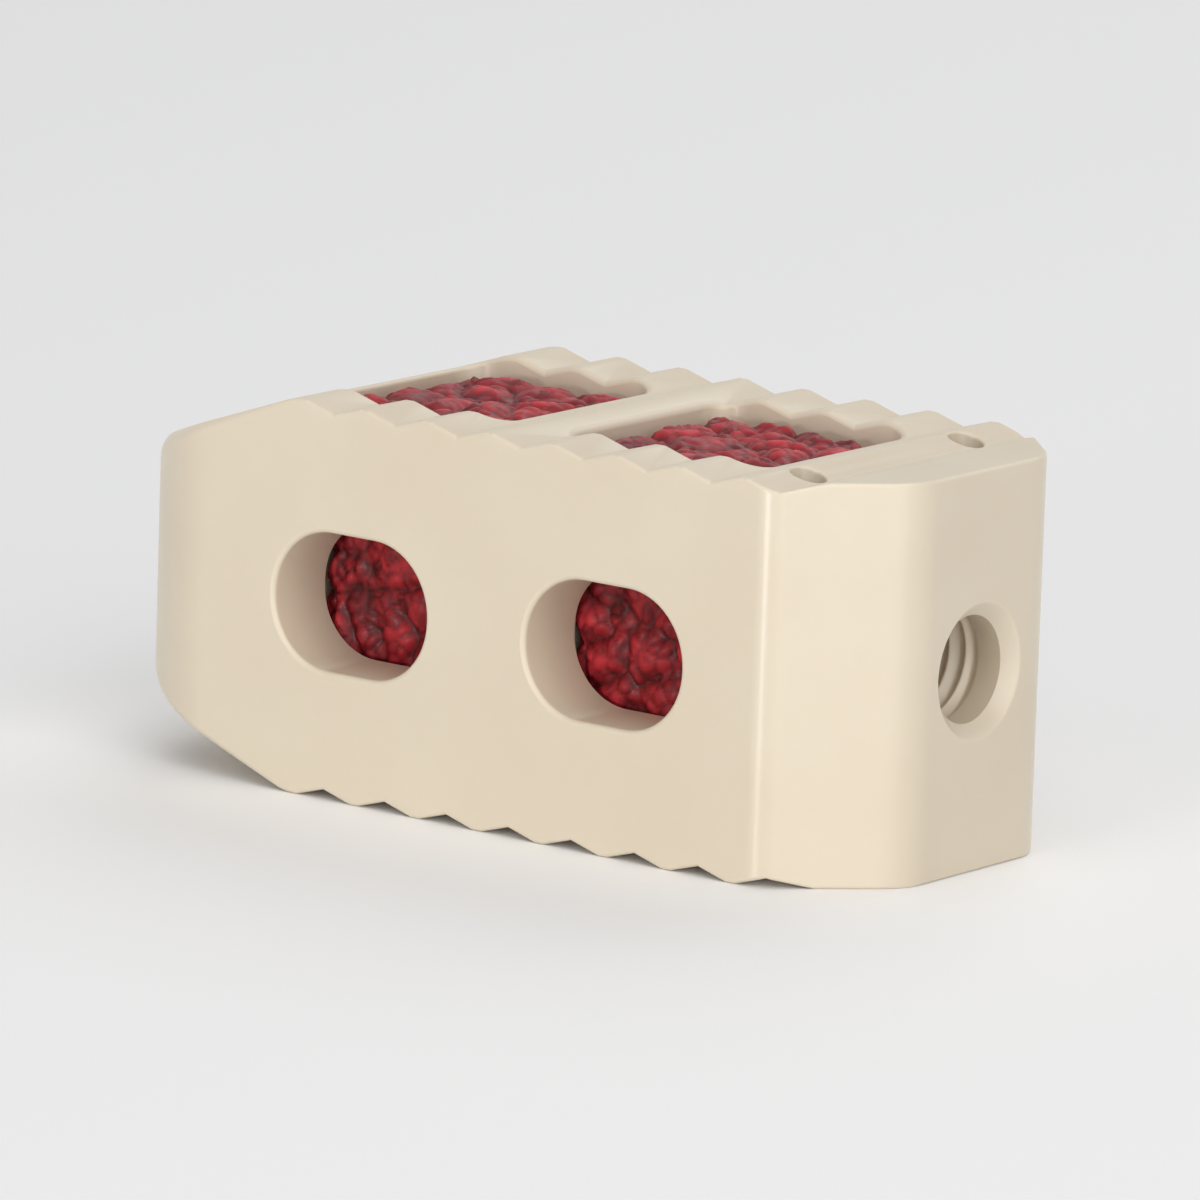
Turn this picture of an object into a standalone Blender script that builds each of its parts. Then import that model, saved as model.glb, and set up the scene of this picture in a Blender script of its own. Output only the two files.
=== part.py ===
"""A spinal interbody cage: a bullet-nosed, toothed spacer that holds two vertebrae apart.

The body is machined from one block of pale plastic. Two chambers run through it from top to
bottom and are packed with bone graft, and two windows in each side open into them. The inserter
screws into the bore in the rear end face. The plastic does not show on an X-ray, so three thin
metal pins mark the nose and the two rear corners.

X runs from the nose (-X) to the inserter face (+X), Y across, Z up. The origin is at the middle
of the underside, on the crests of the lower teeth.
"""

import math

import bmesh
import bpy
import numpy as np
from mathutils import Euler, Vector

MM = 0.001

# Overall size
LENGTH = 23.3 * MM
WIDTH = 10.5 * MM
HEIGHT = 10.0 * MM

# Bullet nose: its top and bottom bend in ahead of the first tooth and end in a rounded tip
NOSE_LENGTH = 6.3 * MM
NOSE_SLOPE = math.radians(19.5)
NOSE_BEND_RADIUS = 1.5 * MM
NOSE_TIP_RADIUS = 1.2 * MM
NOSE_CORNER_RADIUS = 3.2 * MM

# Rear corners: 45 degree chamfers with rounded edges
REAR_CHAMFER = 2.6 * MM
CHAMFER_SIDE_RADIUS = 1.0 * MM
CHAMFER_END_RADIUS = 1.75 * MM

# Teeth: ridges across the top and bottom, with V-shaped grooves between them
TOOTH_PITCH = 1.95 * MM
TOOTH_DEPTH = 0.25 * MM
TOOTH_CREST = 0.25 * MM
REAR_LAND = 1.4 * MM

# Graft chambers, which take up the length that these walls leave
FRONT_WALL = 4.9 * MM
REAR_WALL = 4.6 * MM
STRUT = 2.0 * MM
SIDE_WALL = 2.0 * MM
CHAMBER_CORNER_RADIUS = 0.75 * MM

# Side windows, centred on the chambers at mid-height
WINDOW_MARGIN = 0.55 * MM
WINDOW_HEIGHT = 3.5 * MM
EDGE_BREAK = 0.1 * MM

# Inserter bore in the rear wall
BORE_DIAMETER = 2.7 * MM
COUNTERSINK = 0.35 * MM

# Packed bone graft: chips that stand about this far apart, with crevices between them
GRAFT_CLEARANCE = 0.1 * MM
GRAFT_RECESS = 0.1 * MM
CHIP_SPACING = 1.4 * MM
CHIP_SHOULDER = 0.8 * MM
CHIP_RELIEF = 0.24 * MM

# X-ray marker pins
PIN_DIAMETER = 0.8 * MM
PIN_CLEARANCE = 0.05 * MM
PIN_RECESS = 0.2 * MM
PIN_CHAMFER = 0.1 * MM
NOSE_PIN_SETBACK = 2.8 * MM
REAR_PIN_SETBACK = 3.0 * MM
REAR_PIN_SIDE_INSET = 2.0 * MM

# Finishes: colour, roughness, metallic
PEEK = ("peek", (0.73, 0.63, 0.48), 0.38, 0.0)
GRAFT = ("bone_graft", (0.27, 0.015, 0.022), 0.55, 0.0)
TANTALUM = ("tantalum", (0.42, 0.43, 0.46), 0.35, 1.0)

# How finely round stretches are faceted, and how far cutters reach past the faces they cut
FACET_ANGLE = math.radians(9.0)
OVERCUT = 1.0 * MM
SMOOTH_ANGLE = math.radians(30.0)

# How finely the graft is faceted, and the random numbers that place its chips
GRAFT_CUTS = 15
CHIP_SEED = 7
CHIP_TABLE = 32
ASKEW = Euler((0.6, 0.5, 0.4)).to_matrix()

# Places worked out from the sizes above
MID_HEIGHT = HEIGHT / 2
NOSE_X = -LENGTH / 2
END_X = LENGTH / 2
FIRST_TOOTH_X = NOSE_X + NOSE_LENGTH
NOSE_BEND_RUN = NOSE_BEND_RADIUS * math.tan(NOSE_SLOPE / 2)
NOSE_SLOPE_LENGTH = NOSE_LENGTH - TOOTH_CREST / 2 - NOSE_BEND_RUN
TOOTH_FLANK = (TOOTH_PITCH - TOOTH_CREST) / 2
CHAMBER_LENGTH = (LENGTH - FRONT_WALL - REAR_WALL - STRUT) / 2
CHAMBER_WIDTH = WIDTH - 2 * SIDE_WALL
FRONT_CHAMBER_X = NOSE_X + FRONT_WALL + CHAMBER_LENGTH / 2
REAR_CHAMBER_X = END_X - REAR_WALL - CHAMBER_LENGTH / 2
WINDOW_LENGTH = CHAMBER_LENGTH - 2 * WINDOW_MARGIN


def clear_scene():
    for thing in list(bpy.data.objects):
        bpy.data.objects.remove(thing, do_unlink=True)


def facets(angle):
    """Return how many facets a round stretch of this angle gets."""
    return max(1, math.ceil(abs(angle) / FACET_ANGLE - 1e-6))


def fillet(before, corner, after, radius):
    """Return the points of the arc of this radius that rounds the corner off."""
    to_before = (before - corner).normalized()
    to_after = (after - corner).normalized()
    half = to_before.angle(to_after) / 2
    centre = corner + (to_before + to_after).normalized() * radius / math.sin(half)
    start = corner + to_before * radius / math.tan(half) - centre
    end = corner + to_after * radius / math.tan(half) - centre
    turn = start.angle_signed(end)
    steps = facets(turn)
    first = math.atan2(start.y, start.x)
    points = []
    for i in range(steps + 1):
        angle = first - turn * i / steps
        points.append(centre + radius * Vector((math.cos(angle), math.sin(angle))))
    return points


def rounded_outline(corners):
    """Turn corners (x, y, radius) into a closed outline, with an arc at each radius."""
    outline = []
    for i, (x, y, radius) in enumerate(corners):
        corner = Vector((x, y))
        if radius > 0:
            before = Vector(corners[i - 1][:2])
            after = Vector(corners[(i + 1) % len(corners)][:2])
            outline.extend(fillet(before, corner, after, radius))
        else:
            outline.append(corner)
    return outline


def rounded_rectangle(centre_x, centre_y, size_x, size_y, radius):
    """Return the outline of a rectangle with equal round corners."""
    limit = min(size_x, size_y) / 2
    radius = min(radius, 0.999 * limit)
    half_x = size_x / 2
    half_y = size_y / 2
    signs = ((-1, -1), (1, -1), (1, 1), (-1, 1))
    corners = [(centre_x + sx * half_x, centre_y + sy * half_y, radius) for sx, sy in signs]
    return rounded_outline(corners)


def add_object(name, mesh_builder):
    """Fill a new mesh by calling the builder on a bmesh, and link it as an object."""
    bm = bmesh.new()
    mesh_builder(bm)
    bmesh.ops.recalc_face_normals(bm, faces=bm.faces)
    mesh = bpy.data.meshes.new(name)
    bm.to_mesh(mesh)
    bm.free()
    thing = bpy.data.objects.new(name, mesh)
    bpy.context.scene.collection.objects.link(thing)
    return thing


def loft(name, rings):
    """Join a row of rings, each with as many points as the next, and close both ends."""
    def build(bm):
        rows = [[bm.verts.new(point) for point in ring] for ring in rings]
        count = len(rows[0])
        for row, following in zip(rows, rows[1:]):
            for i in range(count):
                j = (i + 1) % count
                bm.faces.new((row[i], row[j], following[j], following[i]))
        bm.faces.new(rows[0])
        bm.faces.new(rows[-1])
    return add_object(name, build)


def upright_prism(name, outline, bottom, top):
    """Extrude an outline in X and Y from one height to another."""
    return loft(name, [[(p.x, p.y, z) for p in outline] for z in (bottom, top)])


def cross_prism(name, outline, left, right):
    """Extrude an outline in X and Z across the width."""
    return loft(name, [[(p.x, y, p.y) for p in outline] for y in (left, right)])


def combine(target, tool, operation):
    """Cut the target with a tool, or keep only what lies in both."""
    modifier = target.modifiers.new(tool.name, "BOOLEAN")
    modifier.operation = operation
    modifier.solver = "EXACT"
    modifier.object = tool
    tool.hide_render = True
    tool.display_type = "WIRE"


def finish_shape(thing, tools):
    """Apply the cuts, remove the tools and shade the round faces smooth."""
    graph = bpy.context.evaluated_depsgraph_get()
    shape = bpy.data.meshes.new_from_object(thing.evaluated_get(graph))
    thing.modifiers.clear()
    shape.name = thing.name
    thing.data = shape
    for tool in tools:
        bpy.data.objects.remove(tool, do_unlink=True)
    shape.shade_smooth()
    shape.set_sharp_from_angle(angle=SMOOTH_ANGLE)


def plan_outline():
    """The body seen from above: round nose corners, chamfered rear corners."""
    side = WIDTH / 2
    chamfer_x = END_X - REAR_CHAMFER
    chamfer_y = side - REAR_CHAMFER
    nose_radius = min(NOSE_CORNER_RADIUS, 0.999 * side)
    return rounded_outline([
        (NOSE_X, -side, nose_radius),
        (chamfer_x, -side, CHAMFER_SIDE_RADIUS),
        (END_X, -chamfer_y, CHAMFER_END_RADIUS),
        (END_X, chamfer_y, CHAMFER_END_RADIUS),
        (chamfer_x, side, CHAMFER_SIDE_RADIUS),
        (NOSE_X, side, nose_radius),
    ])


def nose_drop(setback):
    """How far the nose's sloping face lies inside the crest plane, this far behind the tip."""
    return (NOSE_SLOPE_LENGTH - setback) * math.tan(NOSE_SLOPE)


def tooth_profile():
    """The lower teeth from the nose to the rear land, as (x, depth) from the crest plane."""
    toothed = END_X - REAR_LAND - FIRST_TOOTH_X
    points = [(FIRST_TOOTH_X, 0.0)]
    for i in range(math.floor(toothed / TOOTH_PITCH + 1e-6)):
        root_x = FIRST_TOOTH_X + i * TOOTH_PITCH + TOOTH_FLANK
        points.append((root_x, TOOTH_DEPTH))
        points.append((root_x + TOOTH_FLANK, 0.0))
        points.append((root_x + TOOTH_FLANK + TOOTH_CREST, 0.0))
    return points


def side_outline():
    """The body seen from the side: sloping nose, teeth above and below, flat rear end."""
    lower = [
        (NOSE_X, nose_drop(0.0), NOSE_TIP_RADIUS),
        (NOSE_X + NOSE_SLOPE_LENGTH, 0.0, NOSE_BEND_RADIUS),
    ]
    lower += [(x, depth, 0.0) for x, depth in tooth_profile()]
    lower.append((END_X, 0.0, 0.0))
    upper = [(x, HEIGHT - z, radius) for x, z, radius in reversed(lower)]
    return rounded_outline(lower + upper)


def chamber_cutter(name, centre_x):
    outline = rounded_rectangle(centre_x, 0.0, CHAMBER_LENGTH, CHAMBER_WIDTH, CHAMBER_CORNER_RADIUS)
    return upright_prism(name, outline, -OVERCUT, HEIGHT + OVERCUT)


def window_cutter(name, centre_x):
    """A round-ended slot through both side walls, wider at each face by the edge break."""
    side = WIDTH / 2
    slot_radius = min(WINDOW_LENGTH, WINDOW_HEIGHT) / 2
    stations = (
        (-side - OVERCUT, EDGE_BREAK + OVERCUT),
        (-side + EDGE_BREAK, 0.0),
        (side - EDGE_BREAK, 0.0),
        (side + OVERCUT, EDGE_BREAK + OVERCUT),
    )
    rings = []
    for y, grow in stations:
        outline = rounded_rectangle(
            centre_x, MID_HEIGHT,
            WINDOW_LENGTH + 2 * grow, WINDOW_HEIGHT + 2 * grow,
            slot_radius + grow,
        )
        rings.append([(p.x, y, p.y) for p in outline])
    return loft(name, rings)


def round_cutter(name, stations, place):
    """A turned cutter: stations are (distance, radius) along an axis, placed by a function."""
    steps = facets(2 * math.pi)
    rings = []
    for distance, radius in stations:
        ring = []
        for i in range(steps):
            angle = 2 * math.pi * i / steps
            ring.append(place(distance, radius * math.cos(angle), radius * math.sin(angle)))
        rings.append(ring)
    return loft(name, rings)


def bore_cutter():
    """The inserter bore, through the rear wall into the chamber, with its countersink."""
    radius = BORE_DIAMETER / 2
    stations = (
        (END_X - REAR_WALL - OVERCUT, radius),
        (END_X - COUNTERSINK, radius),
        (END_X + OVERCUT, radius + COUNTERSINK + OVERCUT),
    )
    return round_cutter("bore", stations, lambda x, u, v: (x, u, MID_HEIGHT + v))


def pin_places():
    """Each marker pin's name, place in plan and half length about mid-height."""
    rear_x = END_X - REAR_PIN_SETBACK
    rear_y = WIDTH / 2 - REAR_PIN_SIDE_INSET
    rear_half = MID_HEIGHT - TOOTH_DEPTH - PIN_RECESS
    nose_half = MID_HEIGHT - nose_drop(NOSE_PIN_SETBACK) - PIN_RECESS
    return (
        ("marker_pin_nose", NOSE_X + NOSE_PIN_SETBACK, 0.0, nose_half),
        ("marker_pin_rear_right", rear_x, -rear_y, rear_half),
        ("marker_pin_rear_left", rear_x, rear_y, rear_half),
    )


def pin_hole_cutter(name, x, y):
    radius = PIN_DIAMETER / 2 + PIN_CLEARANCE
    stations = ((-OVERCUT, radius), (HEIGHT + OVERCUT, radius))
    return round_cutter(name, stations, lambda z, u, v: (x + u, y + v, z))


def make_cage_body():
    """The plan shape and the side shape in common, less the chambers, windows and bores."""
    body = upright_prism("cage_body", plan_outline(), -OVERCUT, HEIGHT + OVERCUT)
    reach = WIDTH / 2 + OVERCUT
    side_shape = cross_prism("side_shape", side_outline(), -reach, reach)
    combine(body, side_shape, "INTERSECT")
    cutters = [bore_cutter()]
    for name, x in (("front", FRONT_CHAMBER_X), ("rear", REAR_CHAMBER_X)):
        cutters.append(chamber_cutter(name + "_chamber", x))
        cutters.append(window_cutter(name + "_windows", x))
    for name, x, y, _half in pin_places():
        cutters.append(pin_hole_cutter(name + "_hole", x, y))
    for cutter in cutters:
        combine(body, cutter, "DIFFERENCE")
    finish_shape(body, [side_shape] + cutters)
    return body


def chip_gaps(points):
    """How much farther off each point's second nearest chip centre is than its nearest.

    Space is cut into cubes, each with one chip centre at a random place inside it. The nearest
    two lie in the point's own cube or in the 26 round it. The cubes stand askew, so that no row
    of chips lines up with a wall.
    """
    points = points @ np.array(ASKEW)
    places = np.random.default_rng(CHIP_SEED).random((CHIP_TABLE, CHIP_TABLE, CHIP_TABLE, 3))
    cubes = np.floor(points / CHIP_SPACING).astype(int)
    distances = []
    for offset in np.ndindex(3, 3, 3):
        cube = cubes + offset - 1
        centres = (cube + places[tuple((cube % CHIP_TABLE).T)]) * CHIP_SPACING
        distances.append(np.linalg.norm(centres - points, axis=1))
    distances = np.sort(distances, axis=0)
    return distances[1] - distances[0]


def make_graft(name, centre_x):
    """Packed graft that fills a chamber: a block with rounded edges, broken up into chips."""
    half = np.array((CHAMBER_LENGTH / 2, CHAMBER_WIDTH / 2, MID_HEIGHT - TOOTH_DEPTH))
    half -= (GRAFT_CLEARANCE, GRAFT_CLEARANCE, GRAFT_RECESS)
    radius = CHAMBER_CORNER_RADIUS - GRAFT_CLEARANCE

    def build(bm):
        bmesh.ops.create_cube(bm, size=2.0)
        bmesh.ops.subdivide_edges(bm, edges=bm.edges, cuts=GRAFT_CUTS, use_grid_fill=True)
        block = np.array([vert.co for vert in bm.verts]) * half
        core = np.clip(block, radius - half, half - radius)
        outward = (block - core) / np.linalg.norm(block - core, axis=1, keepdims=True)
        points = core + outward * radius + (centre_x, 0.0, MID_HEIGHT)
        share = np.minimum(chip_gaps(points) / CHIP_SHOULDER, 1.0)
        points -= outward * CHIP_RELIEF * (1.0 - share[:, None]) ** 2
        for vert, point in zip(bm.verts, points):
            vert.co = point

    graft = add_object(name, build)
    finish_shape(graft, [])
    return graft


def make_pin(name, x, y, half_length):
    """A round marker pin that stands in its hole, chamfered at both ends."""
    radius = PIN_DIAMETER / 2
    chamfer = min(PIN_CHAMFER, 0.9 * radius)
    shoulder = half_length - chamfer
    stations = (
        (-half_length, radius - chamfer),
        (-shoulder, radius),
        (shoulder, radius),
        (half_length, radius - chamfer),
    )
    pin = round_cutter(name, stations, lambda z, u, v: (u, v, z))
    pin.location = (x, y, MID_HEIGHT)
    finish_shape(pin, [])
    return pin


def make_material(name, colour, roughness, metallic):
    material = bpy.data.materials.new(name)
    material.use_nodes = True
    shader = material.node_tree.nodes["Principled BSDF"]
    shader.inputs["Base Color"].default_value = (*colour, 1.0)
    shader.inputs["Roughness"].default_value = roughness
    shader.inputs["Metallic"].default_value = metallic
    return material


def main():
    clear_scene()
    peek = make_material(*PEEK)
    graft = make_material(*GRAFT)
    tantalum = make_material(*TANTALUM)
    cage = bpy.data.objects.new("interbody_cage", None)
    bpy.context.scene.collection.objects.link(cage)

    pieces = [(make_cage_body(), peek)]
    pieces.append((make_graft("graft_front", FRONT_CHAMBER_X), graft))
    pieces.append((make_graft("graft_rear", REAR_CHAMBER_X), graft))
    for name, x, y, half_length in pin_places():
        pieces.append((make_pin(name, x, y, half_length), tantalum))
    for piece, material in pieces:
        piece.data.materials.clear()
        piece.data.materials.append(material)
        piece.parent = cage


main()
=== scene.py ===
# %% [markdown]
# # Dressing a spinal interbody cage
#
# The cage is an implant, a small hollow block with teeth on its top and bottom. It is machined from
# cream-coloured PEEK plastic, its two chambers are packed with bone graft, and three thin tantalum
# pins show on an X-ray where it is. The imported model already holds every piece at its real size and
# place. This script gives those pieces their fine surfaces and finishes, then sets up a camera, a
# floor and lights. All lengths are metres, and one millimetre is written 1 * MM.

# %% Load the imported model
import math

import bpy
import numpy as np
from mathutils import Euler, Matrix, Vector


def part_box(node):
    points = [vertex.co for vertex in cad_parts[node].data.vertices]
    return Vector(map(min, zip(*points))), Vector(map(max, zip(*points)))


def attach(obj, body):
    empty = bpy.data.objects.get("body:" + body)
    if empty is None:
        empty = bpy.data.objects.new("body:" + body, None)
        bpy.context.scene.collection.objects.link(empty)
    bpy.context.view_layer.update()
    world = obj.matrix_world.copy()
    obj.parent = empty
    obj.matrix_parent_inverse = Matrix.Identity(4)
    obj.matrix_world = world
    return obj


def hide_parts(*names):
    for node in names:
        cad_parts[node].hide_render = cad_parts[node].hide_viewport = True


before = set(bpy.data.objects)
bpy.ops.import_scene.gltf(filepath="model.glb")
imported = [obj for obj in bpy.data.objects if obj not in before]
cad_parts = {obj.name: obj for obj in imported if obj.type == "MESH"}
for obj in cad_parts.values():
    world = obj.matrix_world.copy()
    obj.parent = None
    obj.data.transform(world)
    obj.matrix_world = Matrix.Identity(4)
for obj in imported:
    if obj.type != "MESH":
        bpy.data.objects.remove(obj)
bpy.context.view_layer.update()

MM = 0.001
print("nodes:", sorted(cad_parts))

# %% [markdown]
# ## Sizes from the frame
#
# A dressed piece has to sit exactly where its plain one sits, so the overall sizes are read from the
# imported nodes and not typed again. The body's box gives the length, width and height. Each graft
# plug stands a fixed clearance inside its chamber, so the chambers follow from the grafts' boxes.

# %% Sizes from the frame
low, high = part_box("cage_body")
NOSE_X = low.x
END_X = high.x
HALF_WIDTH = high.y
MID_HEIGHT = (low.z + high.z) / 2
MIDDLE = Vector((0, 0, MID_HEIGHT))
GRAFT_CLEARANCE = 0.1 * MM

GRAFTS = ("graft_front", "graft_rear")
CHAMBERS = {}
for node in GRAFTS:
    low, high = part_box(node)
    middle = (low + high) / 2
    half = (high - low) / 2
    CHAMBERS[node] = (middle.x, half.x + GRAFT_CLEARANCE, half.y + GRAFT_CLEARANCE)
    print(node, "chamber in mm:", [round(v / MM, 2) for v in CHAMBERS[node]])

# %% [markdown]
# ## The camera
#
# The photograph looks at the cage's long side from the inserter end: 37.3 degrees round from the
# side and 11.7 degrees above it, tipped 1.9 degrees clockwise, from about 28 cm away. A camera needs
# three directions at right angles: where its back points, its right and its up. They are the columns
# of its matrix. The lens, which Blender counts in plain millimetres, is longer than the photograph's,
# so that the small cage fills the picture while the view of it stays the same.

# %% Camera at the photograph's viewing angle
AZIMUTH = math.radians(37.3)
ELEVATION = math.radians(11.7)
TILT = math.radians(1.9)
CAMERA_DISTANCE = 278 * MM
FOCAL_LENGTH = 335

back = Vector((
    math.sin(AZIMUTH) * math.cos(ELEVATION),
    -math.cos(AZIMUTH) * math.cos(ELEVATION),
    math.sin(ELEVATION),
))
level_right = Vector((math.cos(AZIMUTH), math.sin(AZIMUTH), 0))
level_up = back.cross(level_right)
right = level_right * math.cos(TILT) + level_up * math.sin(TILT)
up = level_up * math.cos(TILT) - level_right * math.sin(TILT)

camera_data = bpy.data.cameras.new("camera")
camera_data.lens = FOCAL_LENGTH
camera_data.clip_start = 10 * MM
camera_data.clip_end = 20
camera = bpy.data.objects.new("camera", camera_data)
bpy.context.scene.collection.objects.link(camera)
place = Matrix((right, up, back)).transposed().to_4x4()
place.translation = MIDDLE + back * CAMERA_DISTANCE
camera.matrix_world = place
bpy.context.scene.camera = camera
print("camera at", [round(v, 3) for v in camera.location])

# %% [markdown]
# ## From numbers to a mesh
#
# Most pieces here are rings of points, one ring after another, like the hoops of a barrel. numpy
# works out every point of every ring at once, and a single call hands them to Blender. The faces
# between two rings are quads that follow the same pattern everywhere, so they are worked out as one
# array too. A signed volume tells whether the faces point outwards: it is the sum over all triangles
# of a . (b x c) / 6, and it comes out negative when the shape is inside out.

# %% Helpers for ring surfaces
def enclosed_volume(mesh):
    """Sum of a . (b x c) / 6 over the mesh's triangles."""
    mesh.calc_loop_triangles()
    corners = np.empty(len(mesh.loop_triangles) * 3, np.int32)
    mesh.loop_triangles.foreach_get("vertices", corners)
    points = np.empty(len(mesh.vertices) * 3, np.float32)
    mesh.vertices.foreach_get("co", points)
    triangles = points.reshape(-1, 3)[corners.reshape(-1, 3)].astype(float)
    a, b, c = triangles.transpose(1, 0, 2)
    return float(np.einsum("ij,ij->", a, np.cross(b, c)) / 6)


def closed_shape(name, points, faces):
    """An object of these points and faces, with the faces turned outwards and shaded smooth."""
    mesh = bpy.data.meshes.new(name)
    mesh.from_pydata(points, [], faces)
    if enclosed_volume(mesh) < 0:
        mesh.flip_normals()
    mesh.shade_smooth()
    shape = bpy.data.objects.new(name, mesh)
    bpy.context.scene.collection.objects.link(shape)
    return shape


def ring_surface(name, rings):
    """A closed surface through rings of points, an array of (ring, point, xyz), with flat ends."""
    rows, columns = rings.shape[:2]
    index = np.arange(rows * columns).reshape(rows, columns)
    following = np.roll(index, -1, axis=1)
    quads = np.stack([index[:-1], following[:-1], following[1:], index[1:]], axis=-1)
    faces = quads.reshape(-1, 4).tolist()
    faces.append(index[0, ::-1].tolist())
    faces.append(index[-1].tolist())
    return closed_shape(name, rings.reshape(-1, 3), faces)


def rounded_ring(half_a, half_b, radius, steps):
    """A rounded rectangle as (a, b) arrays: sign * (half size - radius) + radius * (cos, sin).

    The half sizes and the radius may be columns of numbers, which gives one ring for each row.
    """
    quarter = np.linspace(0, np.pi / 2, steps + 1)
    angle = (quarter + np.pi / 2 * np.arange(4)[:, None]).ravel()
    sign_a = np.repeat([1, -1, -1, 1], steps + 1)
    sign_b = np.repeat([1, 1, -1, -1], steps + 1)
    a = sign_a * (half_a - radius) + radius * np.cos(angle)
    b = sign_b * (half_b - radius) + radius * np.sin(angle)
    return a, b


def even_points(corners, spacing):
    """Points about this far apart along a closed outline, an array of (corner, xy).

    They stand at even shares of the outline's length.
    """
    closed = np.concatenate([corners, corners[:1]])
    reach = np.append(0, np.cumsum(np.linalg.norm(np.diff(closed, axis=0), axis=1)))
    place = np.linspace(0, reach[-1], int(reach[-1] / spacing), endpoint=False)
    return np.stack([np.interp(place, reach, closed[:, i]) for i in (0, 1)], axis=1)


def ring_normals(ring):
    """Outward normals of a ring that runs anticlockwise: its tangent (x, y) turned to (y, -x)."""
    tangent = np.roll(ring, -1, axis=0) - np.roll(ring, 1, axis=0)
    normal = np.stack([tangent[:, 1], -tangent[:, 0]], axis=1)
    return normal / np.linalg.norm(normal, axis=1, keepdims=True)


# %% [markdown]
# ## The body's two outlines
#
# Seen from above, the body has round nose corners and a chamfer at each rear corner. Seen from the
# side, the bullet nose rises to a row of teeth. Both outlines are straight lines with an arc at each
# corner. An arc that touches both lines has its centre on the corner's bisector, at
# radius / sin(half the corner's angle), and touches each line at radius / tan(half the angle) from
# the corner. The teeth's crests and roots get arcs of a few hundredths of a millimetre, as any
# cutter leaves: a perfectly sharp edge would never catch the light.

# %% Outlines of the body
NOSE_CORNER_RADIUS = 3.2 * MM
REAR_CHAMFER = 2.6 * MM
CHAMFER_SIDE_RADIUS = 1.0 * MM
CHAMFER_END_RADIUS = 1.75 * MM

NOSE_LENGTH = 6.3 * MM
NOSE_SLOPE = math.radians(19.5)
NOSE_BEND_RADIUS = 1.5 * MM
NOSE_TIP_RADIUS = 1.2 * MM
TOOTH_PITCH = 1.95 * MM
TOOTH_DEPTH = 0.25 * MM
TOOTH_CREST = 0.25 * MM
TOOTH_COUNT = 8
TOOTH_EDGE_RADIUS = 0.05 * MM
EDGE_RADIUS = 0.1 * MM
ARC_STEP = math.radians(5)


def rounded_path(corners, radii):
    """Points along a path of corners (x, h), with an arc of its own radius at each inner corner.

    Only the arcs have points, and straight lines join them. The two end corners have none: each lies
    at the same x as the end of the arc beside it, and only gives that arc its direction.
    """
    corners = np.array(corners)
    stretches = []
    for before, corner, after, radius in zip(corners, corners[1:], corners[2:], radii):
        to_before = (before - corner) / np.linalg.norm(before - corner)
        to_after = (after - corner) / np.linalg.norm(after - corner)
        half = math.acos(to_before @ to_after) / 2
        bisector = (to_before + to_after) / np.linalg.norm(to_before + to_after)
        centre = corner + bisector * radius / math.sin(half)
        start = corner + to_before * radius / math.tan(half) - centre
        end = corner + to_after * radius / math.tan(half) - centre
        turn = math.atan2(start[0] * end[1] - start[1] * end[0], start @ end)
        steps = max(2, math.ceil(abs(turn) / ARC_STEP))
        angle = math.atan2(start[1], start[0]) + np.linspace(0, turn, steps + 1)
        stretches.append(centre + radius * np.stack([np.cos(angle), np.sin(angle)], axis=1))
    return np.concatenate(stretches)


chamfer_x = END_X - REAR_CHAMFER
chamfer_y = HALF_WIDTH - REAR_CHAMFER
plan = rounded_path(
    [(NOSE_X, 0), (NOSE_X, HALF_WIDTH), (chamfer_x, HALF_WIDTH), (END_X, chamfer_y), (END_X, 0)],
    [NOSE_CORNER_RADIUS, CHAMFER_SIDE_RADIUS, CHAMFER_END_RADIUS],
)

bend_run = NOSE_BEND_RADIUS * math.tan(NOSE_SLOPE / 2)
slope_length = NOSE_LENGTH - TOOTH_CREST / 2 - bend_run
nose_half_height = MID_HEIGHT - slope_length * math.tan(NOSE_SLOPE)
flank = (TOOTH_PITCH - TOOTH_CREST) / 2
first_tooth_x = NOSE_X + NOSE_LENGTH

nose = [(NOSE_X, 0), (NOSE_X, nose_half_height), (NOSE_X + slope_length, MID_HEIGHT)]
teeth = [(first_tooth_x, MID_HEIGHT)]
for tooth in range(TOOTH_COUNT):
    root_x = first_tooth_x + tooth * TOOTH_PITCH + flank
    teeth.append((root_x, MID_HEIGHT - TOOTH_DEPTH))
    teeth.append((root_x + flank, MID_HEIGHT))
    teeth.append((root_x + flank + TOOTH_CREST, MID_HEIGHT))
teeth.pop()  # the last crest runs on into the smooth land behind it
rear = [(END_X, MID_HEIGHT), (END_X, 0)]
radii = [NOSE_TIP_RADIUS, NOSE_BEND_RADIUS] + [TOOTH_EDGE_RADIUS] * len(teeth) + [EDGE_RADIUS]
side = rounded_path(nose + teeth + rear, radii)
print("outline points:", len(plan), "from above,", len(side), "from the side")

# %% [markdown]
# ## The body's outer surface
#
# Cut the body across at any x and the section is a rectangle with slightly rounded corners. Its half
# width comes from the outline seen from above and its half height from the outline seen from the
# side. So the whole outside is one surface of two parameters: x along the body, and the place round
# the section. The sections stand at every x where either outline has a point, and points that agree
# to a micrometre share one. The corner radius grows towards the nose, where the real one is blended
# by hand.

# %% Outer surface of the body
NOSE_EDGE_RADIUS = 0.7 * MM
SECTION_STEPS = 6
STATION_DIGITS = 6

stations = np.unique(np.round(np.concatenate([plan[:, 0], side[:, 0]]), STATION_DIGITS))
half_width = np.interp(stations, plan[:, 0], plan[:, 1])[:, None]
half_height = np.interp(stations, side[:, 0], side[:, 1])[:, None]
nose_share = np.clip((NOSE_X + slope_length - stations) / slope_length, 0, 1)[:, None]
edge_radius = EDGE_RADIUS + (NOSE_EDGE_RADIUS - EDGE_RADIUS) * nose_share ** 2

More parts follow.
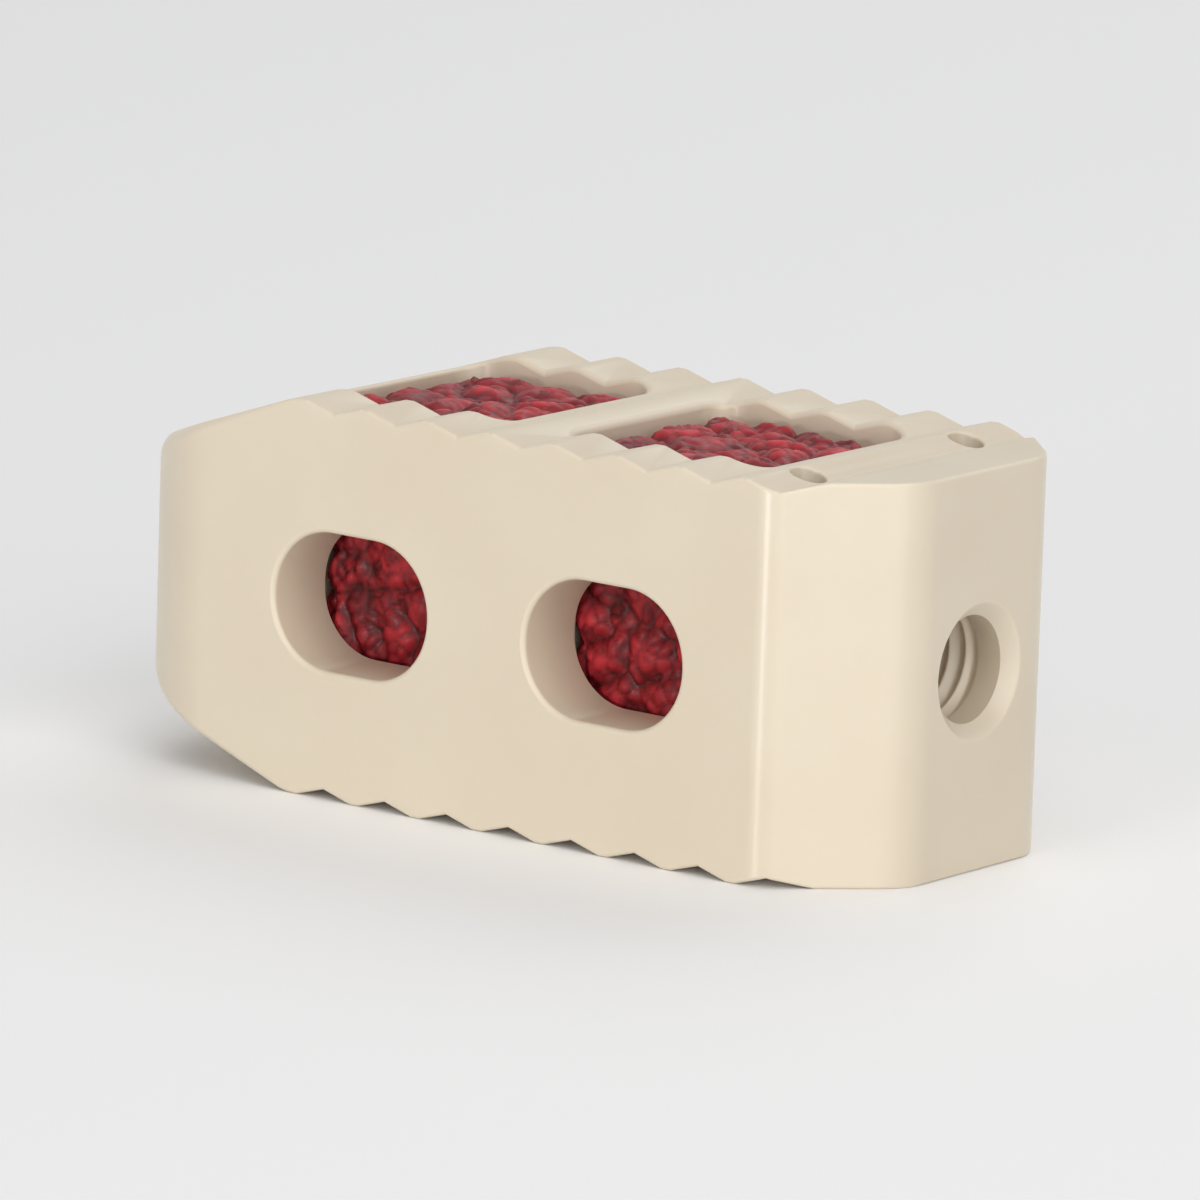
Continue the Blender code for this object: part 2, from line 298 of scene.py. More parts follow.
across, upright = rounded_ring(half_width, half_height, edge_radius, SECTION_STEPS)
along = np.broadcast_to(stations[:, None], across.shape)
body = ring_surface("cage_body_shell", np.stack([along, across, upright + MID_HEIGHT], axis=-1))
print("sections:", len(stations), "volume in mm3:", round(enclosed_volume(body.data) / MM**3, 1))

# %% [markdown]
# ## Cutters
#
# Chambers, windows, bore and pin holes are cut the way a workshop would: with a tool of the hole's
# own shape. A Boolean modifier takes the tool away from the body. Each tool widens like a trumpet
# where it leaves the body, which rounds the hole's rim over: at angle t from the face, the rim's
# depth is r * (1 - cos t) and the tool has grown by r * (1 - sin t). On the toothed faces the depth
# is counted from the outline seen from the side, so the rim runs up and down with the teeth.

# %% Chamber, window and pin hole cutters
OVERCUT = 1 * MM
CHAMBER_CORNER_RADIUS = 0.75 * MM
CHAMBER_RIM_RADIUS = 0.16 * MM
WINDOW_MARGIN = 0.55 * MM
WINDOW_HALF_HEIGHT = 1.75 * MM
WINDOW_END_RADIUS = 1.72 * MM
WINDOW_RIM_RADIUS = 0.14 * MM
PIN_CLEARANCE = 0.05 * MM
PIN_RIM_RADIUS = 0.07 * MM
RIM_SPACING = 0.07 * MM
RIM_POINTS = 8
FLARE = OVERCUT / 2
CORNER_STEPS = 16
ROUND_STEPS = 64


def rim_rows(radius):
    """Depth below the face and growth of a tool, one row after another.

    The first row stands clear above the face, and the others follow the rim to its end.
    """
    t = np.linspace(0, np.pi / 2, RIM_POINTS)
    depth = np.concatenate([[-OVERCUT], radius * (1 - np.cos(t))])
    grow = np.concatenate([[radius + FLARE], radius * (1 - np.sin(t))])
    return depth[:, None], grow[:, None]


def upright_cutter(name, ring, normal, rim_radius):
    """A prism that runs up and down through the body and widens at both faces.

    A row is ring + normal * growth. It stands above and below the middle by the half height of the
    outline seen from the side - depth. The first row stands clear of the teeth at one height.
    """
    depth, grow = rim_rows(rim_radius)
    flat = ring + normal * grow[..., None]
    rise = np.interp(flat[..., 0], side[:, 0], side[:, 1]) - depth
    rise[0] = MID_HEIGHT + OVERCUT
    lower = np.concatenate([flat, (MID_HEIGHT - rise)[..., None]], axis=-1)
    upper = np.concatenate([flat, (MID_HEIGHT + rise)[..., None]], axis=-1)
    return ring_surface(name, np.concatenate([lower, upper[::-1]]))


def window_cutter(name, x, half_length):
    """A slot along Y, from beyond one side to beyond the other.

    A row is a rounded rectangle, whose half sizes and radius are the slot's own + growth.
    """
    depth, grow = rim_rows(WINDOW_RIM_RADIUS)
    y = np.concatenate([depth - HALF_WIDTH, (HALF_WIDTH - depth)[::-1]])
    grow = np.concatenate([grow, grow[::-1]])
    a, b = rounded_ring(
        half_length + grow, WINDOW_HALF_HEIGHT + grow, WINDOW_END_RADIUS + grow, CORNER_STEPS
    )
    points = np.broadcast_arrays(x + a, y, MID_HEIGHT + b)
    return ring_surface(name, np.stack(points, axis=-1))


cutters = []
for node, (x, half_x, half_y) in CHAMBERS.items():
    corners = np.stack(rounded_ring(half_x, half_y, CHAMBER_CORNER_RADIUS, CORNER_STEPS), axis=1)
    ring = even_points(corners, RIM_SPACING)
    normal = ring_normals(ring)
    cutters.append(upright_cutter(node + "_chamber", ring + (x, 0), normal, CHAMBER_RIM_RADIUS))
    cutters.append(window_cutter(node + "_windows", x, half_x - WINDOW_MARGIN))

PINS = ("marker_pin_nose", "marker_pin_rear_left", "marker_pin_rear_right")
turn = np.linspace(0, 2 * np.pi, ROUND_STEPS, endpoint=False)
circle = np.stack([np.cos(turn), np.sin(turn)], axis=1)
for node in PINS:
    low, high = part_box(node)
    radius = (high.x - low.x) / 2 + PIN_CLEARANCE
    ring = np.array((low + high) / 2)[:2] + circle * radius
    cutters.append(upright_cutter(node + "_hole", ring, circle, PIN_RIM_RADIUS))
print("cutters so far:", len(cutters))

# %% [markdown]
# ## The threaded bore
#
# The inserter screws into the bore in the end face. A thread is a groove that climbs by one pitch in
# each turn, so the cutter's radius depends on x / pitch - angle / one turn alone: where that number
# is whole the groove is deepest. A raised cosine gives the groove rounded flanks, and a power below
# one makes it a little fuller. The first millimetre stays smooth, as the photograph shows it, and
# the groove fades in behind it. The countersink's outer edge is rounded by an arc, which meets the
# end face at radius * tan(half the countersink's angle) beyond the edge.

# %% Bore cutter with its thread
BORE_RADIUS = 1.35 * MM
COUNTERSINK = 0.35 * MM
THREAD_PITCH = 0.5 * MM
THREAD_DEPTH = 0.2 * MM
LEAD_IN = 1.0 * MM
THREAD_FADE = 0.3 * MM
ROWS_PER_TURN = 24
GROOVE_POWER = 0.8
COUNTERSINK_ANGLE = math.radians(45)
MOUTH_POINTS = 5

rear_chamber_x, rear_half_x, _ = CHAMBERS["graft_rear"]
bore_start_x = rear_chamber_x + rear_half_x - OVERCUT
thread_end_x = END_X - LEAD_IN
turns = (thread_end_x - bore_start_x) / THREAD_PITCH
x = np.linspace(bore_start_x, thread_end_x, int(turns * ROWS_PER_TURN))[:, None]
groove = (0.5 + 0.5 * np.cos(2 * np.pi * x / THREAD_PITCH - turn)) ** GROOVE_POWER
fade = np.clip((thread_end_x - x) / THREAD_FADE, 0, 1)
threaded = BORE_RADIUS + THREAD_DEPTH * groove * fade

t = np.linspace(0, COUNTERSINK_ANGLE, MOUTH_POINTS)[::-1]
rim_x = END_X - EDGE_RADIUS * (1 - np.cos(t))
rim_grow = EDGE_RADIUS * (math.tan(COUNTERSINK_ANGLE / 2) - np.sin(t))
mouth_x = np.concatenate([[END_X - COUNTERSINK], rim_x, [END_X + OVERCUT]])[:, None]
mouth_grow = np.concatenate([[0], COUNTERSINK + rim_grow, [COUNTERSINK + OVERCUT]])[:, None]
mouth = np.broadcast_to(BORE_RADIUS + mouth_grow, (len(mouth_x), ROUND_STEPS))

bore_x = np.concatenate([x, mouth_x])
bore_radius = np.concatenate([threaded, mouth])
points = np.broadcast_arrays(
    bore_x, bore_radius * np.cos(turn), MID_HEIGHT + bore_radius * np.sin(turn)
)
cutters.append(ring_surface("bore", np.stack(points, axis=-1)))
print("thread turns:", round(turns, 1))

# %% [markdown]
# ## Cutting the body
#
# The modifiers are worked out once, and the result becomes the body's own mesh. Edges steeper than 40
# degrees, all of them deep inside, are marked sharp.

# %% Cut the body
SHARP_ANGLE = math.radians(40)

for cutter in cutters:
    modifier = body.modifiers.new(cutter.name, "BOOLEAN")
    modifier.operation = "DIFFERENCE"
    modifier.solver = "MANIFOLD"
    modifier.object = cutter
graph = bpy.context.evaluated_depsgraph_get()
cut = bpy.data.meshes.new_from_object(body.evaluated_get(graph))
body.modifiers.clear()
body.data = cut
for cutter in cutters:
    bpy.data.objects.remove(cutter, do_unlink=True)

cut.shade_smooth()
cut.set_sharp_from_angle(angle=SHARP_ANGLE)
print("body faces:", len(cut.polygons), "volume in mm3:", round(enclosed_volume(cut) / MM**3, 1))

# %% [markdown]
# ## Keeping the flats flat
#
# Smooth shading blends the directions of all faces round a point, so a flat face would seem to bulge
# beside a rounded edge. Faces that lie in one plane are therefore counted together: their direction
# and their distance from the origin, in millimetres, agree to two digits. Where such a plane is
# large, every corner on its border takes the plane's own direction, and the rounding alone does the
# turning. A plane counts as large when it has more area than any one facet of a rounding. Corners
# that touch no large plane keep Blender's blend, which a zero direction asks for.

# %% Shading of the flats
FLAT_AREA = 2.5 * MM ** 2
PLANE_DIGITS = 2


def read(items, key, width=1, kind=np.float32):
    """One property of all points, corners or faces of a mesh, as an array."""
    values = np.empty(len(items) * width, kind)
    items.foreach_get(key, values)
    return values.reshape(-1, width) if width > 1 else values


direction = read(cut.polygons, "normal", 3)
distance = np.einsum("ij,ij->i", direction, read(cut.polygons, "center", 3)) / MM
plane = np.round(np.column_stack([direction, distance]), PLANE_DIGITS)
_, group = np.unique(plane, axis=0, return_inverse=True)
plane_area = np.bincount(group.ravel(), read(cut.polygons, "area"))[group.ravel()]

vertex = read(cut.loops, "vertex_index", kind=np.int32)
face = np.repeat(np.arange(len(plane_area)), read(cut.polygons, "loop_total", kind=np.int32))
smallest_first = np.argsort(plane_area[face])
flattest = np.zeros(len(cut.vertices), int)
flattest[vertex[smallest_first]] = face[smallest_first]

chosen = flattest[vertex]
turned = np.einsum("ij,ij->i", direction[chosen], direction[face])
on_flat = (plane_area[chosen] > FLAT_AREA) & (turned > math.cos(SHARP_ANGLE))
cut.normals_split_custom_set(np.where(on_flat[:, None], direction[chosen], 0).tolist())
print("corners on flats:", int(on_flat.sum()), "of", len(on_flat))

# %% [markdown]
# ## Rougher top and bottom
#
# The toothed faces are left rougher than the milled sides, so that they grip. A number at every
# point tells the material how far the surface there faces up or down. It is stored in the mesh as an
# attribute, which a material can read by name.

# %% Attribute for the toothed faces
TOOTHED_FROM = 0.75
TOOTHED_BLEND = 0.2

facing = np.abs(read(cut.vertices, "normal", 3)[:, 2])
toothed = np.clip((facing - TOOTHED_FROM) / TOOTHED_BLEND, 0, 1).astype(np.float32)
cut.attributes.new("toothed", "FLOAT", "POINT").data.foreach_set("value", toothed)
print("points on toothed faces:", int((toothed > 0.5).sum()), "of", len(toothed))

# %% [markdown]
# ## Packed bone graft
#
# Each chamber is packed with bone chips soaked in blood. They could be thousands of small stones, but
# only the outside of the pack is ever seen. So each plug is one surface, pressed into the shape of
# its chamber, whose relief comes from cellular noise: space is filled with scattered centres, and
# every point belongs to its nearest one. Half way between two centres the nearest and the second
# nearest are equally far, and there the surface sinks into a crevice.

# %% Cellular noise
TABLE_SIZE = 32
ASKEW = Euler((0.6, 0.5, 0.4)).to_matrix()


def scattered_cells(points, size, seed):
    """For each point: second nearest minus nearest centre distance, and the nearest one's shade.

    Space is cut into cubes of this size, each with one centre at a random place inside it. The
    nearest two lie in the point's own cube or in the 26 round it. The cubes stand askew, so that
    no row of chips lines up with a wall. The random numbers repeat after TABLE_SIZE cubes, which
    is farther than a plug reaches.
    """
    points = points @ np.array(ASKEW)
    generator = np.random.default_rng(seed)
    places = generator.random((TABLE_SIZE, TABLE_SIZE, TABLE_SIZE, 3))
    shades = generator.random((TABLE_SIZE, TABLE_SIZE, TABLE_SIZE))
    cube = np.floor(points / size).astype(int)
    nearest = np.full(points.shape[:-1], np.inf)
    second = nearest
    shade = np.zeros(points.shape[:-1])
    for offset in np.ndindex(3, 3, 3):
        neighbour = cube + offset - 1
        pick = tuple(np.moveaxis(neighbour % TABLE_SIZE, -1, 0))
        distance = np.linalg.norm((neighbour + places[pick]) * size - points, axis=-1)
        closer = distance < nearest
        second = np.where(closer, nearest, np.minimum(second, distance))
        shade = np.where(closer, shades[pick], shade)
        nearest = np.minimum(nearest, distance)
    return second - nearest, shade


# %% [markdown]
# ## From a block to a plug
#
# A plug begins as the skin of a plain block: six even grids of points, joined along their edges. A
# rounded block is a smaller core with a skin of even thickness. Each point of the plain block is
# clamped to the core, which gives the nearest core point, and the way from there to the block's point
# is the outward direction. The rounded surface lies one radius out in that direction. The chips then
# sink every point back inwards along it: large chips, which the plain graft has too, and small crumbs
# on them. Nothing moves outwards, so the graft keeps within the space of its chamber.

# %% Graft plugs
GRAFT_SPACING = 0.07 * MM
CHIP_SPACING = 1.4 * MM
CHIP_SHOULDER = 0.8 * MM
CHIP_RELIEF = 0.24 * MM
CHIP_SEED = 7
CRUMB_SPACING = 0.42 * MM
CRUMB_SHOULDER = 0.2 * MM
CRUMB_RELIEF = 0.09 * MM
CRUMB_SEED = 11
CRUMB_UNEVEN = 0.6
CHIP_IN_CREVICE = 0.4
CHIP_IN_SHADE = 0.35


def graft_relief(points):
    """Depth of chips and crumbs below the block, how deep in a crevice, and each crumb's shade.

    A crevice is relief * (1 - gap / shoulder) squared, and nothing beyond the shoulder. A crumb
    is lower by its shade * CRUMB_UNEVEN. The last two results mix those of chips and crumbs. By how
    deep a point lies in a crevice, the material paints shade and blood there.
    """
    gap, chip_shade = scattered_cells(points, CHIP_SPACING, CHIP_SEED)
    chips = CHIP_RELIEF * (1 - np.minimum(gap / CHIP_SHOULDER, 1)) ** 2
    gap, crumb_shade = scattered_cells(points, CRUMB_SPACING, CRUMB_SEED)
    dome = (1 - (1 - np.minimum(gap / CRUMB_SHOULDER, 1)) ** 2) * (1 - CRUMB_UNEVEN * crumb_shade)
    crumbs = CRUMB_RELIEF * (1 - dome)
    # How deep in a crevice: the mask for the painted shade and blood
    crevice_shade_and_blood = CHIP_IN_CREVICE * chips / CHIP_RELIEF + (1 - CHIP_IN_CREVICE) * (1 - dome)
    shade = CHIP_IN_SHADE * chip_shade + (1 - CHIP_IN_SHADE) * crumb_shade
    return chips + crumbs, crevice_shade_and_blood, shade


def block_skin(half, spacing):
    """A block's six sides as even grids: an array of points (point, xyz) and one of quads.

    The block is a lattice of small steps, and every lattice point has a number. A side is one
    layer of the lattice. Two sides hold the same numbers along their shared edge, which joins them.
    A point is (2 * its step / the number of steps - 1) * half the block's size.
    """
    counts = np.round(2 * half / spacing).astype(int)
    lattice = np.arange(np.prod(counts + 1)).reshape(counts + 1)
    quads = []
    for axis in range(3):
        for layer in (0, -1):
            grid = lattice.take(layer, axis)
            quad = np.stack([grid[:-1, :-1], grid[1:, :-1], grid[1:, 1:], grid[:-1, 1:]], axis=-1)
            backwards = (layer == 0) != (axis == 1)
            quads.append((quad[..., ::-1] if backwards else quad).reshape(-1, 4))
    used, quads = np.unique(np.concatenate(quads), return_inverse=True)
    steps = np.stack(np.unravel_index(used, counts + 1), axis=-1)
    return (2 * steps / counts - 1) * half, quads.reshape(-1, 4)


def make_graft(name, node):
    """A block whose edges are rounded and whose points are sunk into chips and crumbs."""
    low, high = (np.array(v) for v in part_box(node))
    half = (high - low) / 2
    radius = CHAMBER_CORNER_RADIUS - GRAFT_CLEARANCE
    block, quads = block_skin(half, GRAFT_SPACING)
    core = np.clip(block, radius - half, half - radius)
    outward = (block - core) / np.linalg.norm(block - core, axis=-1, keepdims=True)
    points = (low + high) / 2 + core + outward * radius
    depth, crevice_shade_and_blood, shade = graft_relief(points)
    graft = closed_shape(name, points - outward * depth[:, None], quads.tolist())

    # The crevice number marks where the material paints shade and blood.
    for key, values in (("shade", shade), ("crevice_shade_and_blood", crevice_shade_and_blood)):
        attribute = graft.data.attributes.new(key, "FLOAT", "POINT")
        attribute.data.foreach_set("value", values.astype(np.float32))
    print(name, "faces:", len(graft.data.polygons), "deepest in mm:", round(depth.max() / MM, 2))
    return graft


grafts = [make_graft(node + "_chips", node) for node in GRAFTS]

# %% [markdown]
# ## Marker pins
#
# The pins are short lengths of tantalum wire, pressed in and cut a little below the teeth. A turned
# shape is the plainest surface of two parameters: a radius for each height, carried round a circle.
# The edge of each end is rounded by a quarter circle.

# %% Marker pins
PIN_EDGE = 0.1 * MM


def make_pin(name, node):
    """Rings of radius r(z), where the last PIN_EDGE of each end is a quarter circle."""
    low, high = (np.array(v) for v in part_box(node))
    centre = (low + high) / 2
    radius = (high[0] - low[0]) / 2
    t = np.linspace(0, np.pi / 2, RIM_POINTS)
    rise = PIN_EDGE * (1 - np.cos(t))
    z = np.concatenate([low[2] + rise, high[2] - rise[::-1]])
    r = radius - PIN_EDGE * (1 - np.sin(np.concatenate([t, t[::-1]])))
    points = np.broadcast_arrays(
        centre[0] + r[:, None] * np.cos(turn),
        centre[1] + r[:, None] * np.sin(turn),
        z[:, None],
    )
    return ring_surface(name, np.stack(points, axis=-1))


pins = [make_pin(node + "_wire", node) for node in PINS]
print("pins:", len(pins))

# %% [markdown]
# ## Helpers for materials
#
# A material is a small graph of nodes. Writing each node as one call, with its inputs as named
# values, keeps the graph readable: an input that is given another node's output is linked to it, and
# any other value is set on the input itself. Noise gathers round a half, and nearly all of it lies
# within NOISE_RANGE.

# %% Node helpers
NOISE_RANGE = (0.3, 0.7)


def new_material(name):
    """A material, its node tree and the shader in it."""
    material = bpy.data.materials.new(name)
    material.use_nodes = True
    tree = material.node_tree
    return material, tree, tree.nodes["Principled BSDF"]


def connect(tree, value, socket):
    """Link an input to another node's output, or set a plain value on it."""
    if isinstance(value, bpy.types.NodeSocket):
        tree.links.new(value, socket)
    else:
        socket.default_value = value


def fill(tree, node, inputs):
    """Connect a node's inputs, each given by its name."""
    for key, value in inputs.items():
        connect(tree, value, node.inputs[key])


def add_node(tree, kind, inputs, **settings):
    """A new shader node of this kind, with its settings and inputs."""
    node = tree.nodes.new("ShaderNode" + kind)
    for key, value in settings.items():
        setattr(node, key, value)
    fill(tree, node, inputs)
    return node


def noise(tree, position, scale, detail=2.0, stretch=(1, 1, 1)):
    """Noise of about 1 / scale in size, squeezed along each axis by its stretch."""
    mapped = add_node(tree, "Mapping", {"Vector": position, "Scale": stretch})
    inputs = {"Vector": mapped.outputs["Vector"], "Scale": scale, "Detail": detail}
    return add_node(tree, "TexNoise", inputs).outputs["Fac"]


def span(tree, value, low, high, to_low=0.0, to_high=1.0):
    """Carry the range from low to high over to another one, and hold its ends."""
    inputs = {"Value": value, "From Min": low, "From Max": high, "To Min": to_low, "To Max": to_high}
    return add_node(tree, "MapRange", inputs).outputs["Result"]


def blend_colours(tree, share, first, second):
    """A mix of two colours: the first where the share is 0, the second where it is 1."""
    node = tree.nodes.new("ShaderNodeMix")
    node.data_type = "RGBA"
    for key, value in (("Factor", share), ("A", first), ("B", second)):
        connect(tree, value, next(s for s in node.inputs if s.name == key and s.enabled))
    return next(s for s in node.outputs if s.enabled)


# %% [markdown]
# ## PEEK plastic
#
# Natural PEEK is a warm cream that lets a little light in under its surface. Milling leaves it satin,
# with hair-fine lines where the cutter passed. The colour drifts very slightly from place to place.
# Subsurface light softens the shading, and a bump of a few micrometres draws the cutter's lines.
# Those lines also stretch a highlight, and Anisotropic does that along the Tangent. The tangent here
# points upwards, so a rounded upright edge shows one long thin line of light, as in the photograph.
# It leans a little, so that it still has a direction on a level face.

# %% PEEK material
PEEK_COLOUR = (0.72, 0.63, 0.49, 1)
PEEK_DEEP = (0.67, 0.565, 0.425, 1)
CLOUD_SCALE = 220
CLOUD_RANGE = (0.35, 0.7)
DEEPEST_SHARE = 0.5
PORE_SCALE = 5200
LINE_SCALE = 260
LINE_SQUEEZE = 42
MILLED_ROUGHNESS = (0.34, 0.39)
TOOTHED_ROUGHER = 0.22
TANGENT = (0.1, 0.05, 1.0)


def make_peek():
    """Cloudy cream, milling lines across and along, fine pores, and rougher toothed faces."""
    material, tree, shader = new_material("peek")
    position = add_node(tree, "TexCoord", {}).outputs["Object"]
    cloud = noise(tree, position, CLOUD_SCALE, 3)
    pore = noise(tree, position, PORE_SCALE, 2)
    passes = noise(tree, position, LINE_SCALE, 3, (1, 1, LINE_SQUEEZE))
    ground = noise(tree, position, LINE_SCALE, 3, (LINE_SQUEEZE, 1, 1))
    deep = span(tree, cloud, *CLOUD_RANGE, 0, DEEPEST_SHARE)
    colour = blend_colours(tree, deep, PEEK_COLOUR, PEEK_DEEP)
    lines = add_node(tree, "Math", {0: passes, 1: ground}, operation="ADD").outputs["Value"]
    marks = add_node(tree, "Bump", {"Height": lines, "Strength": 0.1, "Distance": 0.008 * MM})
    pores = add_node(tree, "Bump", {
        "Height": pore, "Strength": 0.12, "Distance": 0.005 * MM, "Normal": marks.outputs["Normal"],
    })
    upwards = add_node(tree, "CombineXYZ", dict(zip("XYZ", TANGENT))).outputs["Vector"]
    milled = span(tree, passes, *NOISE_RANGE, *MILLED_ROUGHNESS)
    on_teeth = add_node(tree, "Attribute", {}, attribute_name="toothed").outputs["Fac"]
    rougher = {0: on_teeth, 1: TOOTHED_ROUGHER, 2: milled}
    rough = add_node(tree, "Math", rougher, operation="MULTIPLY_ADD")
    fill(tree, shader, {
        "Base Color": colour,
        "Roughness": rough.outputs["Value"],
        "Normal": pores.outputs["Normal"],
        "Anisotropic": 0.85,
        "Tangent": upwards,
        "IOR": 1.67,
        "Subsurface Weight": 0.1,
        "Subsurface Radius": (1.0, 0.7, 0.4),
        "Subsurface Scale": 0.5 * MM,
    })
    return material


peek = make_peek()
print("nodes in the PEEK material:", len(peek.node_tree.nodes))

# %% [markdown]
# ## Blood-soaked bone chips
#
# The chips are dark red and moist. Each crumb has its own shade, from the number that the relief gave
# it. The crevices are painted nearly black: painted shade, and the blood that collects there. A thin
# clear coat gives the wet shine.

# %% Graft material
GRAFT_BRIGHT = (0.54, 0.028, 0.04, 1)
GRAFT_DARK = (0.16, 0.005, 0.009, 1)
# Painted shade and blood in the crevices, nearly black
GRAFT_CREVICE_SHADE_AND_BLOOD = (0.04, 0.001, 0.002, 1)
MOTTLE_SCALE = 3600
BRIGHT_RANGE = (0.6, 1.3)
CREVICE_SHADE_AND_BLOOD_RANGE = (0.35, 0.95)
GRAFT_ROUGHNESS = (0.42, 0.66)


def make_graft_material():
    """Dark and bright red by crumb and mottle, painted nearly black in the crevices as shade and
    blood, and moist.
    """
    material, tree, shader = new_material("bone_graft")
    position = add_node(tree, "TexCoord", {}).outputs["Object"]
    shade = add_node(tree, "Attribute", {}, attribute_name="shade").outputs["Fac"]
    crevice_shade_and_blood = add_node(tree, "Attribute", {}, attribute_name="crevice_shade_and_blood").outputs["Fac"]
    mottle = noise(tree, position, MOTTLE_SCALE, 4)
    mixed = add_node(tree, "Math", {0: shade, 1: mottle}, operation="ADD").outputs["Value"]
    bright = span(tree, mixed, *BRIGHT_RANGE)
    colour = blend_colours(tree, bright, GRAFT_DARK, GRAFT_BRIGHT)
    # Painted shade and blood: deep in a crevice the colour turns nearly black
    colour = blend_colours(tree, span(tree, crevice_shade_and_blood, *CREVICE_SHADE_AND_BLOOD_RANGE), colour, GRAFT_CREVICE_SHADE_AND_BLOOD)
    bump = add_node(tree, "Bump", {"Height": mottle, "Strength": 0.6, "Distance": 0.03 * MM})
    fill(tree, shader, {
        "Base Color": colour,
        "Roughness": span(tree, mottle, *NOISE_RANGE, *GRAFT_ROUGHNESS),
        "Normal": bump.outputs["Normal"],
        "Specular IOR Level": 0.3,
        "Coat Weight": 0.05,
        "Coat Roughness": 0.2,
    })
    return material


graft_material = make_graft_material()
print("nodes in the graft material:", len(graft_material.node_tree.nodes))

# %% [markdown]
# ## Tantalum
#
# Tantalum is a blue-grey metal. The wire's sides carry fine drawing lines along its length. The cut
# ends show the same pattern end on, as fine grain.

# %% Tantalum material
TANTALUM_COLOUR = (0.42, 0.43, 0.46, 1)
TANTALUM_DARK = (0.3, 0.31, 0.335, 1)
DRAWN_SCALE = 9000
DRAWN_STRETCH = 0.03
STAIN_SCALE = 2400
STAIN_RANGE = (0.35, 0.65)
TANTALUM_ROUGHNESS = (0.28, 0.42)


def make_tantalum():
    """Blue-grey metal with drawing lines along Z and faint stains."""
    material, tree, shader = new_material("tantalum")
    position = add_node(tree, "TexCoord", {}).outputs["Object"]
    drawn = noise(tree, position, DRAWN_SCALE, 2, (1, 1, DRAWN_STRETCH))
    stain = noise(tree, position, STAIN_SCALE, 3)
    dark = span(tree, stain, *STAIN_RANGE)
    bump = add_node(tree, "Bump", {"Height": drawn, "Strength": 0.4, "Distance": 0.006 * MM})
    fill(tree, shader, {
        "Base Color": blend_colours(tree, dark, TANTALUM_COLOUR, TANTALUM_DARK),
        "Metallic": 1.0,
        "Roughness": span(tree, drawn, *NOISE_RANGE, *TANTALUM_ROUGHNESS),
        "Normal": bump.outputs["Normal"],
    })
    return material


tantalum = make_tantalum()
print("nodes in the tantalum material:", len(tantalum.node_tree.nodes))

# %% [markdown]
# ## Hand the pieces over
#
# Every new piece rides on the model's one body and wears its material, and its plain node is hidden.
# A piece without these would be left behind, or would show the plain node inside it.

# %% Pieces, finishes and the nodes they stand for
dressed = [(body, "cage_body", "peek", peek)]
for graft, node in zip(grafts, GRAFTS):
    dressed.append((graft, node, "bone_graft", graft_material))
for pin, node in zip(pins, PINS):
    dressed.append((pin, node, "tantalum", tantalum))
for piece, node, slot, material in dressed:
    piece.data.materials.clear()
    piece.data.materials.append(material)
    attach(piece, "root")
    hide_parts(node)
    print(piece.name, "stands for", node)

# %% [markdown]
# ## Floor
#
# A large pale square lies under the part and takes its shadow. The camera, straight or by way of a
# mirror, sees it a little paler than the light that bounces off it does, and the Light Path node
# tells the two apart. So the picture is pale all round without more light on the part.

# %% Floor
def seen_rays(tree):
    """1 for a ray from the camera, straight or by way of a reflection or a clear piece, else 0."""
    rays = add_node(tree, "LightPath", {}).outputs
    seen = rays["Is Camera Ray"]
    for kind in ("Is Glossy Ray", "Is Transmission Ray"):
        seen = add_node(tree, "Math", {0: seen, 1: rays[kind]}, operation="MAXIMUM").outputs["Value"]
    return seen


FLOOR_COLOUR = (0.88, 0.88, 0.885, 1)
FLOOR_SEEN = (0.97, 0.97, 0.975, 1)
FLOOR_SIZE = 1.2

floor_mesh = bpy.data.meshes.new("floor")
half = FLOOR_SIZE / 2
corners = [(-half, -half, 0), (half, -half, 0), (half, half, 0), (-half, half, 0)]
floor_mesh.from_pydata(corners, [], [(0, 1, 2, 3)])
floor = bpy.data.objects.new("floor", floor_mesh)
bpy.context.scene.collection.objects.link(floor)
floor_material, tree, shader = new_material("floor")
floor_colour = blend_colours(tree, seen_rays(tree), FLOOR_COLOUR, FLOOR_SEEN)
fill(tree, shader, {"Base Color": floor_colour, "Roughness": 0.7})
floor_mesh.materials.append(floor_material)
print("floor side in mm:", round(FLOOR_SIZE / MM))

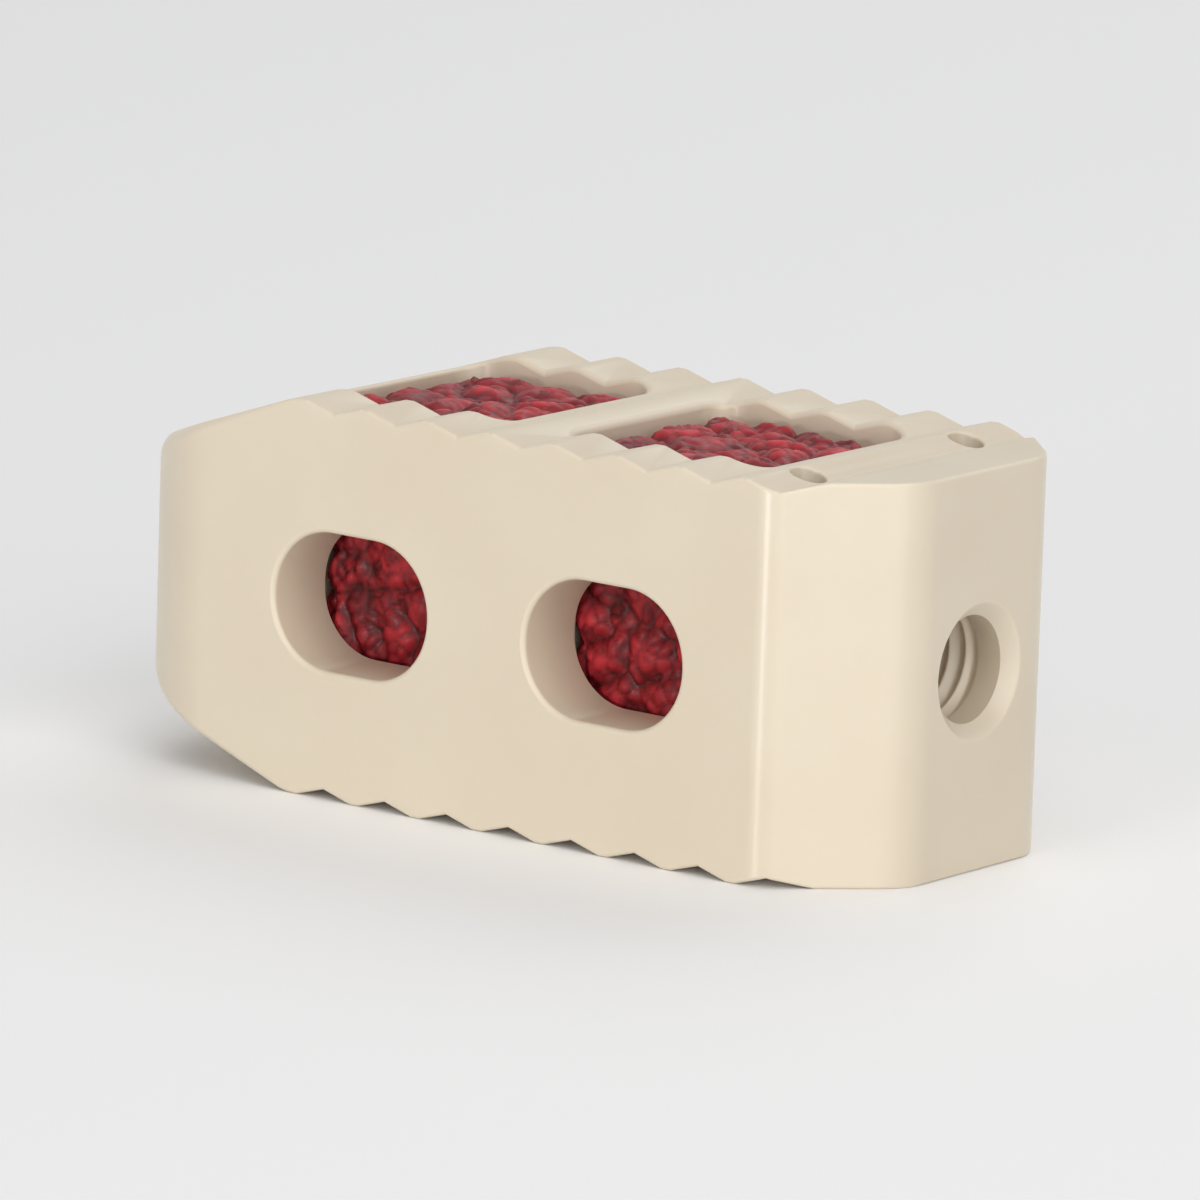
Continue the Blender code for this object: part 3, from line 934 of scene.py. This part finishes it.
# %% [markdown]
# ## Lamps
#
# Large soft lamps keep the light plain. A soft box's power is worked out from how bright it should
# make a white card that faces it: power = level * pi squared * distance squared. The brightest one
# stands to the right of the camera and lights the chamfer. It is large, because a small lamp of the
# same level is so bright that it would burn out where it is mirrored. A small low one to the left
# draws the thin line along the rounded edge. Weak ones in front, above and behind fill the shadows.

# %% Lamps
def soft_box(name, azimuth, elevation, distance, width, height, level):
    """An area lamp seen from the object at this azimuth and elevation, in degrees."""
    a = math.radians(azimuth)
    e = math.radians(elevation)
    away = Vector((math.sin(a) * math.cos(e), -math.cos(a) * math.cos(e), math.sin(e)))
    lamp = bpy.data.lights.new(name, "AREA")
    lamp.shape = "RECTANGLE"
    lamp.size = width
    lamp.size_y = height
    lamp.energy = level * math.pi ** 2 * distance ** 2
    box = bpy.data.objects.new(name, lamp)
    box.location = MIDDLE + away * distance
    box.rotation_euler = away.to_track_quat("Z", "Y").to_euler()
    box.visible_camera = False
    bpy.context.scene.collection.objects.link(box)


# Name, azimuth, elevation, distance, width, height and level of each lamp
LAMPS = (
    ("key", 58, 26, 0.40, 0.34, 0.40, 0.54),
    ("strip", 3, 4, 0.40, 0.07, 0.06, 0.27),
    ("front", 0, 30, 0.45, 0.35, 0.20, 0.05),
    ("overhead", 20, 80, 0.45, 0.30, 0.30, 0.15),
    ("fill", 190, 45, 0.45, 0.35, 0.30, 0.25),
)
for lamp in LAMPS:
    soft_box(*lamp)
print("lamps:", len(LAMPS))

# %% [markdown]
# ## Background
#
# The world adds a weak even light from all round. The same helper gives the camera a paler one to
# see behind the floor. The Standard view shows each colour about as it is written.

# %% Background
WORLD_LIGHT = 0.3
WORLD_SEEN = 0.8

world = bpy.data.worlds.new("studio")
bpy.context.scene.world = world
world.use_nodes = True
tree = world.node_tree
background = tree.nodes["Background"]
fill(tree, background, {
    "Color": (1, 1, 1, 1),
    "Strength": span(tree, seen_rays(tree), 0, 1, WORLD_LIGHT, WORLD_SEEN),
})
bpy.context.scene.view_settings.view_transform = "Standard"
print("world strength:", WORLD_LIGHT, "as light,", WORLD_SEEN, "as seen")
